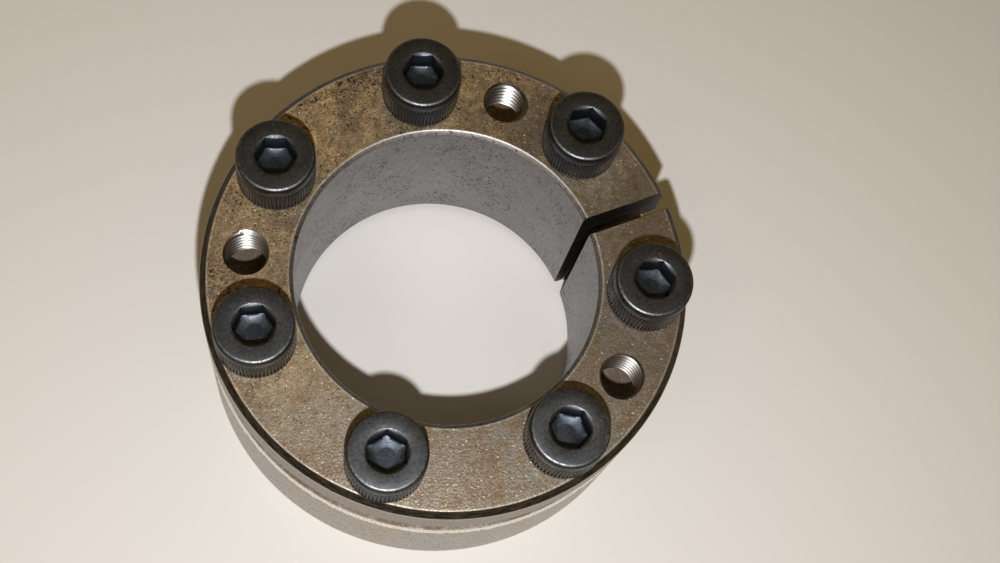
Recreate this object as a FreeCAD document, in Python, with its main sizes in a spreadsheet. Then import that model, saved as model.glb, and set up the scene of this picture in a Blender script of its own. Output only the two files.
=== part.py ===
import FreeCAD, Part
import math
import os

import Sketcher

# Keyless locking bush for a 50 mm shaft in an 80 mm hub bore.
#
# A slotted inner ring with a flange and a long outside taper sits in a slotted outer ring with the
# matching taper bore. Seven socket head screws stand in the flange and pull the outer ring up the
# taper, which closes the inner ring on the shaft and opens the outer ring in the hub. Three tapped
# holes in the flange take jack screws that push the rings apart again.
#
# +Z is the bush axis, the slots point along +X, and the origin is the centre of the outer ring's
# end face, on which the bush stands. The rings are drawn as delivered: screws fitted, not tight.

SIZES = (
    # alias, value in mm or degrees, what it is
    ("bore_dia", 50.0, "bore of the inner ring, the shaft size"),
    ("ring_dia", 80.0, "outside of the flange and of the outer ring, the hub size"),
    ("inner_len", 33.0, "inner ring, flange face to thin end"),
    ("flange_thk", 8.0, "flange"),
    ("flange_edge", 1.15, "chamfer round the flange face"),
    ("fine_edge", 0.5, "chamfer on the rings' other outside edges"),
    ("bore_edge", 0.7, "chamfer at both ends of the bore"),
    ("outer_len", 20.0, "outer ring"),
    ("ring_gap", 6.0, "space between the flange and the outer ring"),
    ("sleeve_end_dia", 53.4, "outside of the inner ring at its thin end"),
    ("taper_angle", 3.0, "half angle of the taper, degrees"),
    ("taper_gap", 0.35, "radial room between the two tapers before tightening"),
    ("relief_len", 1.5, "grinding relief under the flange, height"),
    ("relief_depth", 0.4, "grinding relief under the flange, depth"),
    ("slot_width", 2.7, "slot through each ring"),
    ("screw_pcd", 65.5, "circle of the screws and of the jack holes"),
    ("screw_count", 7.0, "screws on the circle"),
    ("thread_dia", 8.0, "M8 thread, outside"),
    ("tap_dia", 6.8, "M8 tapped hole, inside"),
    ("thread_room", 0.1, "radial room of a screw in its hole in the outer ring"),
    ("pass_dia", 8.4, "clearance hole in the flange"),
    ("rim_edge", 0.3, "chamfer at both ends of a tapped hole"),
    ("screw_len", 25.0, "screw under its head"),
    ("tip_edge", 0.9, "chamfer at the screw's tip"),
    ("head_dia", 13.0, "screw head"),
    ("head_height", 8.0, "screw head"),
    ("head_edge", 0.6, "chamfer round the top of the head"),
    ("seat_edge", 0.3, "chamfer under the head"),
    ("socket_width", 6.0, "hexagon socket across flats"),
    ("socket_depth", 4.0, "hexagon socket, straight part"),
    ("floor_dia", 3.2, "flat at the bottom of the socket"),
    ("floor_angle", 30.0, "slope from the socket's flats down to that flat, degrees"),
)

JACK_PITCHES = (1, 3, -1)                       # screw pitches from the slot to each jack hole
SOCKET_TURNS = (52, 41, 41, 47, 10, 29, 44)     # degrees, how each hexagon happens to stand
SMALLEST_CUT = 1.0                              # mm3, a cut that takes less has missed the piece

# Heights and angles that several pieces share, as expressions in the sheet's aliases.
FLANGE_FACE = "($outer_len + $ring_gap + $flange_thk)"
SLEEVE_END = "(%s - $inner_len)" % FLANGE_FACE
TAPER = "tan($taper_angle * 1deg)"
PITCH = "(360deg / $screw_count)"


def expression(text):
    """Text for setExpression, in which each $name is a cell of the sheet."""
    return text.replace("$", "Sizes.")


def make_sheet(doc):
    """The driving dimensions, one alias to a row."""
    sheet = doc.addObject("Spreadsheet::Sheet", "Sizes")
    for row, (alias, value, meaning) in enumerate(SIZES, start=1):
        sheet.set("A%d" % row, meaning)
        sheet.set("B%d" % row, str(value))
        sheet.setAlias("B%d" % row, alias)
    doc.recompute()


def new_body(doc, name):
    """An empty body whose label names its file."""
    body = doc.addObject("PartDesign::Body", name)
    body.Label = name
    return body


def origin_part(body, role):
    """One plane or axis of the body's own origin."""
    return next(item for item in body.Origin.OriginFeatures if item.Role == role)


def new_sketch(body, name, role, turn=None, lift=None):
    """A sketch on one of the body's origin planes, turned about Z or lifted along it."""
    sketch = body.newObject("Sketcher::SketchObject", name)
    sketch.AttachmentSupport = (origin_part(body, role), [""])
    sketch.MapMode = "FlatFace"
    if turn:
        sketch.setExpression("AttachmentOffset.Rotation.Yaw", expression(turn))
    if lift:
        sketch.setExpression("AttachmentOffset.Base.z", expression(lift))
    return sketch


def hold_point(sketch, geometry, end, across, up):
    """Hold one point of a curve at (across, up), both given as text in the sheet's aliases."""
    place = sketch.getPoint(geometry, end)
    for kind, axis, text, now in (("DistanceX", -2, across, place.x),
                                  ("DistanceY", -1, up, place.y)):
        if text == "0":
            sketch.addConstraint(Sketcher.Constraint("PointOnObject", geometry, end, axis))
        else:
            number = sketch.addConstraint(Sketcher.Constraint(kind, -1, 1, geometry, end, now))
            sketch.setExpression("Constraints[%d]" % number, expression(text))


def add_outline(sketch, corners):
    """A closed outline of straight lines. It starts as a rough ring that the corners then shape."""
    count = len(corners)
    angles = [2 * math.pi * number / count for number in range(count)]
    rough = [FreeCAD.Vector(9 + 5 * math.cos(angle), 9 + 5 * math.sin(angle), 0)
             for angle in angles]
    for number in range(count):
        following = rough[(number + 1) % count]
        sketch.addGeometry(Part.LineSegment(rough[number], following), False)
    for number in range(count):
        following = (number + 1) % count
        sketch.addConstraint(Sketcher.Constraint("Coincident", number, 2, following, 1))
    for number, (across, up) in enumerate(corners):
        hold_point(sketch, number, 1, across, up)


def add_circle(sketch, across, diameter):
    """A circle whose centre lies on the sketch's X axis."""
    sketch.addGeometry(Part.Circle(FreeCAD.Vector(9, 0, 0), FreeCAD.Vector(0, 0, 1), 2), False)
    hold_point(sketch, 0, 3, across, "0")
    number = sketch.addConstraint(Sketcher.Constraint("Diameter", 0, 4))
    sketch.setExpression("Constraints[%d]" % number, expression(diameter))


def revolve(body, name, corners):
    """A solid turned about Z from an outline in the XZ plane."""
    sketch = new_sketch(body, name + "_outline", "XZ_Plane")
    add_outline(sketch, corners)
    turned = body.newObject("PartDesign::Revolution", name)
    turned.Profile = sketch
    turned.ReferenceAxis = (sketch, ["V_Axis"])
    turned.Angle = 360
    body.Document.recompute()


def checked_cut(body, before, name):
    """Stop if a cut has not reached the solid."""
    body.Document.recompute()
    if before - body.Shape.Volume < SMALLEST_CUT:
        raise RuntimeError("%s cuts nothing" % name)


def cut_upwards(body, name, sketch):
    """Cut a sketch on the XY plane through everything above it."""
    before = body.Shape.Volume
    pocket = body.newObject("PartDesign::Pocket", name)
    pocket.Profile = sketch
    pocket.Type = "ThroughAll"
    pocket.Reversed = True
    checked_cut(body, before, name)
    return pocket


def cut_slot(body):
    """The slot that lets a ring spring, on the +X side."""
    sketch = new_sketch(body, "slot_outline", "XY_Plane")
    add_outline(sketch, (
        ("$bore_dia / 4", "-$slot_width / 2"),
        ("$ring_dia", "-$slot_width / 2"),
        ("$ring_dia", "$slot_width / 2"),
        ("$bore_dia / 4", "$slot_width / 2"),
    ))
    cut_upwards(body, "slot", sketch)


def cut_screw_holes(body, diameter):
    """One plain hole for each screw, the first half a pitch from the slot."""
    sketch = new_sketch(body, "screw_hole_outline", "XY_Plane", turn=PITCH + " / 2")
    add_circle(sketch, "$screw_pcd / 2", diameter)
    first = cut_upwards(body, "screw_hole", sketch)
    before = body.Shape.Volume
    ring_of_holes = body.newObject("PartDesign::PolarPattern", "screw_holes")
    ring_of_holes.Originals = [first]
    ring_of_holes.Axis = (origin_part(body, "Z_Axis"), [""])
    ring_of_holes.Angle = 360
    ring_of_holes.setExpression("Occurrences", expression("$screw_count"))
    body.Tip = ring_of_holes
    checked_cut(body, before, "screw_holes")


def cut_jack_hole(body, number, pitches):
    """The plain inside wall of one tapped hole through the flange."""
    name = "jack_hole_%d" % number
    sketch = new_sketch(body, name + "_outline", "XY_Plane", turn="%d * %s" % (pitches, PITCH))
    add_circle(sketch, "$screw_pcd / 2", "$tap_dia")
    cut_upwards(body, name, sketch)


def chamfer_rims(body, radius):
    """Chamfer every round rim of this radius that lies square to the bush axis."""
    base = body.Tip
    rims = []
    for number, edge in enumerate(base.Shape.Edges, start=1):
        if isinstance(edge.Curve, Part.Circle) and abs(edge.Curve.Radius - radius) < 1e-6:
            rims.append("Edge%d" % number)
    before = body.Shape.Volume
    chamfer = body.newObject("PartDesign::Chamfer", "rims")
    chamfer.Base = (base, rims)
    chamfer.setExpression("Size", expression("$rim_edge"))
    checked_cut(body, before, "rims")


def sleeve_radius(height):
    """The inner ring's taper at a height above its thin end."""
    return "($sleeve_end_dia / 2 + %s * %s)" % (height, TAPER)


def make_inner_ring(doc):
    """Flange, tapered sleeve and bore in one piece, drawn upwards from the thin end."""
    body = new_body(doc, "inner_ring")
    back = "($inner_len - $flange_thk)"
    relief = "(%s - $relief_len)" % back
    revolve(body, "blank", (
        ("$bore_dia / 2 + $bore_edge", "0"),
        ("$sleeve_end_dia / 2", "0"),
        (sleeve_radius(relief), relief),
        (sleeve_radius(relief) + " - $relief_depth", relief),
        (sleeve_radius(relief) + " - $relief_depth", back),
        ("$ring_dia / 2 - $fine_edge", back),
        ("$ring_dia / 2", back + " + $fine_edge"),
        ("$ring_dia / 2", "$inner_len - $flange_edge"),
        ("$ring_dia / 2 - $flange_edge", "$inner_len"),
        ("$bore_dia / 2 + $bore_edge", "$inner_len"),
        ("$bore_dia / 2", "$inner_len - $bore_edge"),
        ("$bore_dia / 2", "$bore_edge"),
    ))
    cut_screw_holes(body, "$pass_dia")
    for number, pitches in enumerate(JACK_PITCHES, start=1):
        cut_jack_hole(body, number, pitches)
    chamfer_rims(body, doc.Sizes.tap_dia / 2)
    cut_slot(body)
    body.setExpression("Placement.Base.z", expression(SLEEVE_END))


def make_outer_ring(doc):
    """The ring that the screws draw up the taper, drawn upwards from its end face."""
    body = new_body(doc, "outer_ring")

    def bore_radius(height):
        return sleeve_radius("(%s - %s)" % (height, SLEEVE_END)) + " + $taper_gap"

    revolve(body, "blank", (
        (bore_radius("0") + " + $fine_edge", "0"),
        ("$ring_dia / 2 - $fine_edge", "0"),
        ("$ring_dia / 2", "$fine_edge"),
        ("$ring_dia / 2", "$outer_len - $fine_edge"),
        ("$ring_dia / 2 - $fine_edge", "$outer_len"),
        (bore_radius("$outer_len"), "$outer_len"),
        (bore_radius("$fine_edge"), "$fine_edge"),
    ))
    cut_screw_holes(body, "$thread_dia + 2 * $thread_room")
    chamfer_rims(body, doc.Sizes.thread_dia / 2 + doc.Sizes.thread_room)
    cut_slot(body)
    body.Placement = FreeCAD.Placement()


def make_screw(doc, number, socket_turn):
    """A socket head cap screw, drawn from the seat under its head."""
    body = new_body(doc, "screw_%d" % number)
    revolve(body, "blank", (
        ("0", "-$screw_len"),
        ("$thread_dia / 2 - $tip_edge", "-$screw_len"),
        ("$thread_dia / 2", "-$screw_len + $tip_edge"),
        ("$thread_dia / 2", "0"),
        ("$head_dia / 2 - $seat_edge", "0"),
        ("$head_dia / 2", "$seat_edge"),
        ("$head_dia / 2", "$head_height - $head_edge"),
        ("$head_dia / 2 - $head_edge", "$head_height"),
        ("0", "$head_height"),
    ))
    cut_socket(body)
    angle = "(%d - 0.5) * %s" % (number, PITCH)
    turn = FreeCAD.Rotation(FreeCAD.Vector(0, 0, 1), socket_turn)
    body.Placement = FreeCAD.Placement(FreeCAD.Vector(0, 0, 0), turn)
    body.setExpression("Placement.Base.x", expression("$screw_pcd / 2 * cos(%s)" % angle))
    body.setExpression("Placement.Base.y", expression("$screw_pcd / 2 * sin(%s)" % angle))
    body.setExpression("Placement.Base.z", expression(FLANGE_FACE))


def cut_socket(body):
    """The hexagon socket, its floor sloping down to a small flat."""
    hexagon = new_sketch(body, "hexagon", "XY_Plane", lift="$head_height")
    corner = "($socket_width / sqrt(3))"
    add_outline(hexagon, [
        ("%s * cos(%ddeg)" % (corner, 60 * side), "%s * sin(%ddeg)" % (corner, 60 * side))
        if side % 3 else ("%s * cos(%ddeg)" % (corner, 60 * side), "0")
        for side in range(6)
    ])
    before = body.Shape.Volume
    socket = body.newObject("PartDesign::Pocket", "socket")
    socket.Profile = hexagon
    socket.setExpression("Length", expression("$socket_depth"))
    checked_cut(body, before, "socket")

    floor = "($head_height - $socket_depth)"
    fall = "($socket_width - $floor_dia) / 2 * tan($floor_angle * 1deg)"
    slope = new_sketch(body, "floor_outline", "XZ_Plane")
    add_outline(slope, (
        ("0", floor),
        ("$socket_width / 2", floor),
        ("$floor_dia / 2", "%s - %s" % (floor, fall)),
        ("0", "%s - %s" % (floor, fall)),
    ))
    before = body.Shape.Volume
    groove = body.newObject("PartDesign::Groove", "socket_floor")
    groove.Profile = slope
    groove.ReferenceAxis = (slope, ["V_Axis"])
    groove.Angle = 360
    checked_cut(body, before, "socket_floor")


def write_parts(doc):
    """Check every object of the document, then write one STEP file to each body."""
    doc.recompute()
    for item in doc.Objects:
        if "Invalid" in item.State or "Error" in item.State:
            raise RuntimeError("%s: %s" % (item.Name, ", ".join(item.State)))
    bodies = [item for item in doc.Objects if item.TypeId == "PartDesign::Body"]
    for body in bodies:
        if body.Shape.isNull() or not body.Shape.isValid() or len(body.Shape.Solids) != 1:
            raise RuntimeError("%s is not one valid solid" % body.Label)
    os.makedirs("parts", exist_ok=True)
    for body in bodies:
        body.Shape.exportStep(os.path.join("parts", body.Label + ".step"))
        print("%-12s %9.1f mm3" % (body.Label, body.Shape.Volume))


def main():
    doc = FreeCAD.newDocument("locking_bush")
    make_sheet(doc)
    make_inner_ring(doc)
    make_outer_ring(doc)
    for number, socket_turn in enumerate(SOCKET_TURNS, start=1):
        make_screw(doc, number, socket_turn)
    write_parts(doc)


main()
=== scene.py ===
import math

import bmesh
import bpy
from mathutils import Matrix, Vector


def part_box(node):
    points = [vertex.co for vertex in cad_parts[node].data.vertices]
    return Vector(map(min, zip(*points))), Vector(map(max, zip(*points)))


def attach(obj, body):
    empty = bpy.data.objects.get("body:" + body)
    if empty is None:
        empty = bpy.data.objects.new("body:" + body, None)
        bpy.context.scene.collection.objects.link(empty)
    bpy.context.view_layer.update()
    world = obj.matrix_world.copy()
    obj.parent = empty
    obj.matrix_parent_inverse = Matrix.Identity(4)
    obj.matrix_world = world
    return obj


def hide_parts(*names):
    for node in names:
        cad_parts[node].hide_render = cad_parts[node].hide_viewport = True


bl_info = {
    "name": "Keyless Locking Bush",
    "version": (1, 0, 0),
    "blender": (4, 5, 0),
    "location": "3D View > Sidebar > Bush",
    "description": "Builds a locking bush: two slotted taper rings and seven socket head screws",
    "category": "Add Mesh",
}

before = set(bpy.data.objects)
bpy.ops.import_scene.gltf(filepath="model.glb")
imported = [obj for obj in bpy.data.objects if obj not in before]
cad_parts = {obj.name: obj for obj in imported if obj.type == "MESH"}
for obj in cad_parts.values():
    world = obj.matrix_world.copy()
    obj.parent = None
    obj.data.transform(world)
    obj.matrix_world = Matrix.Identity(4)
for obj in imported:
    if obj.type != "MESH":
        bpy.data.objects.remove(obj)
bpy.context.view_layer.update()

MM = 0.001
TURN = 2 * math.pi


def top_of(node):
    """Height of a node's highest point in mm."""
    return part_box(node)[1].z / MM


def bottom_of(node):
    """Height of a node's lowest point in mm."""
    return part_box(node)[0].z / MM


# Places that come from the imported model, in mm.
FLANGE_FACE = top_of("inner_ring")
THIN_END = bottom_of("inner_ring")
RING_TOP = top_of("outer_ring")
SCREW_TIP = bottom_of("screw_1")
HEAD_TOP = top_of("screw_1")
RING_RADIUS = round(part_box("outer_ring")[1].y / MM, 1)

SCREWS = 7
PITCH_ANGLE = TURN / SCREWS
JACK_PLACES = (1, 3, 6)                         # in screw pitches from the slot
SOCKET_TURNS = (52, 41, 41, 47, 10, 29, 44)     # degrees, how each hexagon happens to stand
ROUND_STEPS = 256                               # flats round a ring
HOLE_STEPS = 48                                 # flats round a hole or a thread
KNURLS = 66                                     # ridges round a screw head
HEAD_STEPS = KNURLS * 4
FLANGE_CHAMFER = 1.15
BORE_CHAMFER = 0.7
RIM_CHAMFER = 0.5                               # on the rings' other outer edges
RELIEF_LENGTH = 1.5                             # groove under the flange
RELIEF_DEPTH = 0.4
KNURL_LOW = 0.95                                # heights on a head, above its seat
KNURL_HIGH = 5.35
KNURL_END = 5.6
COUNTERSINK = ((3.05, -0.75), (4.2, 0.5))       # radius and height, from the face outwards
BLADE_START = 12                                # the slot's cutter, from the axis
BLADE_LENGTH = 40
SLOT_EDGE = 0.12                                # chamfer of the slot at the faces
SOCKET_FLOOR_ANGLE = math.radians(18)
HEAD_RIM = (6.0, 7.9)                           # radius and height of a head's rim, partly worn and partly a painted highlight
SOCKET_MOUTH = (3.6, 7.9)                       # and of the worn mouth of its hexagon
KNURL_CREST = 6.42                              # radius past which a knurl is rubbed
TIP_CHAMFER = 1.1                               # length of the chamfer on a screw's end
PAST_CREST = 4.2                                # a radius outside any thread
SHARP_ANGLE = math.radians(38)                  # an edge past this angle is drawn crisp


# ---- sizes and colours to change

class BushSizes(bpy.types.PropertyGroup):
    """Sizes of the two rings, in millimetres."""
    bore: bpy.props.FloatProperty(
        name="Bore", description="Diameter of the shaft, mm", default=50.0)
    flange: bpy.props.FloatProperty(
        name="Flange", description="Thickness of the flange, mm", default=8.0)
    thin_end: bpy.props.FloatProperty(
        name="Thin end", description="Outside of the inner ring at its thin end, mm", default=53.4)
    taper: bpy.props.FloatProperty(
        name="Taper", description="Half angle of the taper", default=math.radians(3),
        subtype="ANGLE", unit="ROTATION")
    taper_gap: bpy.props.FloatProperty(
        name="Taper gap", description="Room between the two tapers, mm", default=0.35)
    slot: bpy.props.FloatProperty(
        name="Slot", description="Width of the slot in each ring, mm", default=2.7)
    screw_circle: bpy.props.FloatProperty(
        name="Screw circle", description="Diameter of the circle of the screws, mm", default=65.5)
    screw_hole: bpy.props.FloatProperty(
        name="Screw hole", description="Clearance hole in the flange, mm", default=8.4)
    edge: bpy.props.FloatProperty(
        name="Edge", description="Rounding of the turned edges, mm", default=0.14)


class ScrewSizes(bpy.types.PropertyGroup):
    """Sizes of the M8 screws and threads, in millimetres."""
    pitch: bpy.props.FloatProperty(
        name="Pitch", description="Rise of the thread in one turn, mm", default=1.25)
    crest: bpy.props.FloatProperty(
        name="Crest", description="Radius of the screw's thread at its crest, mm", default=3.95)
    root: bpy.props.FloatProperty(
        name="Root", description="Radius of the screw's thread at its root, mm", default=3.24)
    thread_room: bpy.props.FloatProperty(
        name="Thread room", description="Radial room between screw and tapped hole, mm",
        default=0.1)
    head: bpy.props.FloatProperty(
        name="Head", description="Diameter of the head, mm", default=13.0)
    socket: bpy.props.FloatProperty(
        name="Socket", description="Hexagon across its flats, mm", default=6.0)
    socket_depth: bpy.props.FloatProperty(
        name="Socket depth", description="Straight part of the hexagon, mm", default=4.0)


class BushColours(bpy.types.PropertyGroup):
    """Colours of the finishes."""
    steel: bpy.props.FloatVectorProperty(
        name="Steel", description="Bare turned steel", subtype="COLOR",
        default=(0.46, 0.44, 0.42), min=0, max=1)
    oil: bpy.props.FloatVectorProperty(
        name="Oil film", description="Dried oil on the flange", subtype="COLOR",
        default=(0.54, 0.372, 0.168), min=0, max=1)
    rust: bpy.props.FloatVectorProperty(
        name="Rust", description="Light rust", subtype="COLOR",
        default=(0.13, 0.065, 0.03), min=0, max=1)
    oxide: bpy.props.FloatVectorProperty(
        name="Black oxide", description="Finish of the screws", subtype="COLOR",
        default=(0.047, 0.055, 0.068), min=0, max=1)
    floor: bpy.props.FloatVectorProperty(
        name="Floor", description="Table top", subtype="COLOR",
        default=(0.66, 0.65, 0.64), min=0, max=1)


# ---- mesh helpers, all in mm

def place_on_circle(angle):
    """A point on the screw circle."""
    radius = bpy.context.scene.bush_sizes.screw_circle / 2
    return Vector((radius * math.cos(angle), radius * math.sin(angle), 0))


def screw_angle(number):
    """Where a screw stands on the circle. They are counted anticlockwise from the slot."""
    return (number - 0.5) * PITCH_ANGLE


def turned(corners, steps, edge=0.0):
    """A bmesh turned about Z from (radius, height) corners, with its edges lightly rounded."""
    bm = bmesh.new()
    outline = [bm.verts.new((across, 0, up)) for across, up in corners]
    bm.faces.new(outline)
    if edge:
        rounded = [corner for corner in outline if corner.co.x > edge]
        bmesh.ops.bevel(bm, geom=rounded, offset=edge, offset_type="OFFSET", segments=3,
                        profile=0.5, affect="VERTICES", material=-1, clamp_overlap=True)
    bmesh.ops.delete(bm, geom=bm.faces[:], context="FACES_ONLY")
    on_axis = [rim for rim in bm.edges if max(end.co.x for end in rim.verts) < 1e-6]
    bmesh.ops.delete(bm, geom=on_axis, context="EDGES")
    bmesh.ops.spin(bm, geom=bm.verts[:] + bm.edges[:], cent=(0, 0, 0), axis=(0, 0, 1),
                   dvec=(0, 0, 0), angle=TURN, steps=steps, use_merge=True,
                   use_normal_flip=False, use_duplicate=False)
    bmesh.ops.remove_doubles(bm, verts=bm.verts[:], dist=1e-4)
    bmesh.ops.recalc_face_normals(bm, faces=bm.faces[:])
    return bm


def rod(radius, low, high):
    """A plain round cutter."""
    return turned([(0, low), (radius, low), (radius, high), (0, high)], HOLE_STEPS)


def threaded_rod(root, crest, low, high):
    """A right-hand threaded rod about Z with flat ends."""
    pitch = bpy.context.scene.screw_sizes.pitch
    start = (math.floor(low / pitch) - 2) * pitch
    turns = math.ceil((high - start) / pitch) + 2
    bm = bmesh.new()
    ridge = ((root, 1 / 8), (crest, 7 / 16), (crest, 9 / 16), (root, 7 / 8), (root, 9 / 8))
    wire = [bm.verts.new((across, 0, start + share * pitch)) for across, share in ridge]
    for one, other in zip(wire, wire[1:]):
        bm.edges.new((one, other))
    bmesh.ops.spin(bm, geom=bm.verts[:] + bm.edges[:], cent=(0, 0, 0), axis=(0, 0, 1),
                   dvec=(0, 0, pitch / HOLE_STEPS), angle=TURN * turns, steps=HOLE_STEPS * turns,
                   use_merge=False, use_normal_flip=False, use_duplicate=False)
    bmesh.ops.remove_doubles(bm, verts=bm.verts[:], dist=1e-4)
    for height, up in ((low, -1), (high, 1)):
        bmesh.ops.bisect_plane(bm, geom=bm.verts[:] + bm.edges[:] + bm.faces[:], dist=1e-5,
                               plane_co=(0, 0, height), plane_no=(0, 0, up), clear_outer=True)
    rims = [rim for rim in bm.edges if rim.is_boundary]
    bmesh.ops.holes_fill(bm, edges=rims, sides=0)
    bmesh.ops.recalc_face_normals(bm, faces=bm.faces[:])
    return bm


def tapped_hole(low, high, zone, place, turn):
    """Cutters for a tapped hole from face to face: its thread, and its two countersunk mouths."""
    screw = bpy.context.scene.screw_sizes
    thread = threaded_rod(screw.root + screw.thread_room, screw.crest + screw.thread_room,
                          low - 1, high + 1)
    mouths = []
    for level, out in ((high, 1), (low, -1)):
        (narrow, deep), (wide, above) = COUNTERSINK
        mouth = turned([(0, level + deep * out), (narrow, level + deep * out),
                        (wide, level + above * out), (0, level + above * out)], HOLE_STEPS)
        mouths.append(moved(paint_zone(mouth, zone), place))
    return moved(paint_zone(thread, zone), place, turn), mouths


def slot_cutter(low, high):
    """A flat blade on the +X side that leaves a fine chamfer at the top and bottom faces."""
    half = bpy.context.scene.bush_sizes.slot / 2
    edge = SLOT_EDGE
    bm = bmesh.new()
    side = [(half + 1, low + edge - 1), (half, low + edge), (half, high - edge),
            (half + 1, high - edge + 1)]
    outline = side + [(-across, up) for across, up in reversed(side)]
    blade = bm.faces.new([bm.verts.new((BLADE_START, across, up)) for across, up in outline])
    grown = bmesh.ops.extrude_face_region(bm, geom=[blade])
    far = [item for item in grown["geom"] if isinstance(item, bmesh.types.BMVert)]
    bmesh.ops.translate(bm, verts=far, vec=(BLADE_LENGTH, 0, 0))
    bmesh.ops.recalc_face_normals(bm, faces=bm.faces[:])
    return bm


def paint_zone(bm, zone):
    """Give every face of a cutter the material slot that its cut shows."""
    for face in bm.faces:
        face.material_index = zone
        face.smooth = True
    return bm


def moved(bm, place, turn=0.0):
    """Turn a bmesh about Z, then move it."""
    matrix = Matrix.Translation(place) @ Matrix.Rotation(turn, 4, "Z")
    bmesh.ops.transform(bm, matrix=matrix, verts=bm.verts[:])
    return bm


def joined(parts):
    """One bmesh out of several."""
    whole = bmesh.new()
    for part in parts:
        mesh = bpy.data.meshes.new("part")
        part.to_mesh(mesh)
        part.free()
        whole.from_mesh(mesh)
        bpy.data.meshes.remove(mesh)
    return whole


def new_piece(bm, name, materials=()):
    """An object with this mesh, still in mm."""
    mesh = bpy.data.meshes.new(name)
    bm.to_mesh(mesh)
    bm.free()
    for material in materials:
        mesh.materials.append(material)
    piece = bpy.data.objects.new(name, mesh)
    bpy.context.scene.collection.objects.link(piece)
    return piece


def bake_modifiers(piece):
    """Replace the mesh by what its modifiers make of it."""
    graph = bpy.context.evaluated_depsgraph_get()
    graph.update()
    mesh = bpy.data.meshes.new_from_object(piece.evaluated_get(graph))
    piece.modifiers.clear()
    old = piece.data
    piece.data = mesh
    name = old.name
    bpy.data.meshes.remove(old)
    mesh.name = name


def combine(piece, cutter, how):
    """Cut, join or intersect a piece with a cutter, and throw the cutter away."""
    tool = new_piece(cutter, "cutter")
    step = piece.modifiers.new("step", "BOOLEAN")
    step.solver = "EXACT"
    step.operation = how
    step.object = tool
    step.material_mode = "INDEX"
    bake_modifiers(piece)
    mesh = tool.data
    bpy.data.objects.remove(tool)
    bpy.data.meshes.remove(mesh)


def finish_piece(piece):
    """From mm to metres, with smooth walls and crisp edges."""
    bm = bmesh.new()
    bm.from_mesh(piece.data)
    bmesh.ops.remove_doubles(bm, verts=bm.verts[:], dist=2e-5)
    bmesh.ops.dissolve_degenerate(bm, edges=bm.edges[:], dist=1e-5)
    bmesh.ops.scale(bm, vec=(MM, MM, MM), verts=bm.verts[:])
    for face in bm.faces:
        face.smooth = True
    bm.to_mesh(piece.data)
    bm.free()
    piece.data.set_sharp_from_angle(angle=SHARP_ANGLE)
    crisp = piece.modifiers.new("crisp", "WEIGHTED_NORMAL")
    crisp.keep_sharp = True
    crisp.weight = 80


def fits(piece, node):
    """Stand a piece in for the CAD node that it details."""
    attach(piece, node)
    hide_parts(node)


# ---- material helpers

class Tree:
    """Adds nodes to one tree. A value may be a number, a tuple or another node's output."""

    def __init__(self, tree):
        self.tree = tree

    def node(self, kind, **settings):
        made = self.tree.nodes.new(kind)
        for name, value in settings.items():
            setattr(made, name, value)
        return made

    def feed(self, socket, value):
        if isinstance(value, bpy.types.NodeSocket):
            self.tree.links.new(value, socket)
        elif value is not None:
            if socket.type == "RGBA" and len(value) == 3:
                value = (*value, 1)
            socket.default_value = value

    def math(self, operation, one, other=None, third=None):
        made = self.node("ShaderNodeMath", operation=operation)
        for socket, value in zip(made.inputs, (one, other, third)):
            self.feed(socket, value)
        return made.outputs[0]

    def times(self, one, other):
        return self.math("MULTIPLY", one, other)

    def scaled_plus(self, value, factor, rest):
        """The value times the factor, plus the rest."""
        return self.math("MULTIPLY_ADD", value, factor, rest)

    def vector(self, operation, one, other=None):
        made = self.node("ShaderNodeVectorMath", operation=operation)
        for socket, value in zip(made.inputs, (one, other)):
            self.feed(socket, value)
        number = operation in ("LENGTH", "DISTANCE", "DOT_PRODUCT")
        return made.outputs["Value" if number else "Vector"]

    def ramp(self, value, low, high, start=0.0, end=1.0):
        """A soft step: start up to low, end from high on."""
        made = self.node("ShaderNodeMapRange", interpolation_type="SMOOTHSTEP")
        for name, item in (("Value", value), ("From Min", low), ("From Max", high),
                           ("To Min", start), ("To Max", end)):
            self.feed(made.inputs[name], item)
        return made.outputs["Result"]

    def mix(self, share, one, other):
        """One colour at a share of 0, the other at 1."""
        made = self.node("ShaderNodeMix", data_type="RGBA", blend_type="MIX")
        self.feed(made.inputs[0], share)
        self.feed(made.inputs[6], one)
        self.feed(made.inputs[7], other)
        return made.outputs[2]

    def over(self, colour, shade, mask, strength):
        """A colour with a shade laid over it where a mask is high."""
        return self.mix(self.times(mask, strength), colour, shade)

    def noise(self, vector, scale, detail=2.0, roughness=0.5, distortion=0.0):
        made = self.node("ShaderNodeTexNoise")
        for name, item in (("Vector", vector), ("Scale", scale), ("Detail", detail),
                           ("Roughness", roughness), ("Distortion", distortion)):
            self.feed(made.inputs[name], item)
        return made.outputs["Fac"]

    def group(self, name, **values):
        made = self.node("ShaderNodeGroup", node_tree=bpy.data.node_groups[name])
        for key, value in values.items():
            self.feed(made.inputs[key.replace("_", " ").capitalize()], value)
        return made.outputs

    def bump(self, height, distance, strength):
        made = self.node("ShaderNodeBump")
        self.feed(made.inputs["Height"], height)
        self.feed(made.inputs["Distance"], distance)
        self.feed(made.inputs["Strength"], strength)
        return made.outputs["Normal"]


def new_effect(name, inputs, outputs):
    """A shader node group with named sockets. Returns its tree, its inputs and its output node."""
    group = bpy.data.node_groups.new(name, "ShaderNodeTree")
    kinds = {"value": "NodeSocketFloat", "vector": "NodeSocketVector"}
    for label, kind, default in inputs:
        socket = group.interface.new_socket(label, in_out="INPUT", socket_type=kinds[kind])
        socket.default_value = default
    for label, kind in outputs:
        group.interface.new_socket(label, in_out="OUTPUT", socket_type=kinds[kind])
    tree = Tree(group)
    start = tree.node("NodeGroupInput").outputs
    end = tree.node("NodeGroupOutput").inputs
    return tree, start, end


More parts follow.
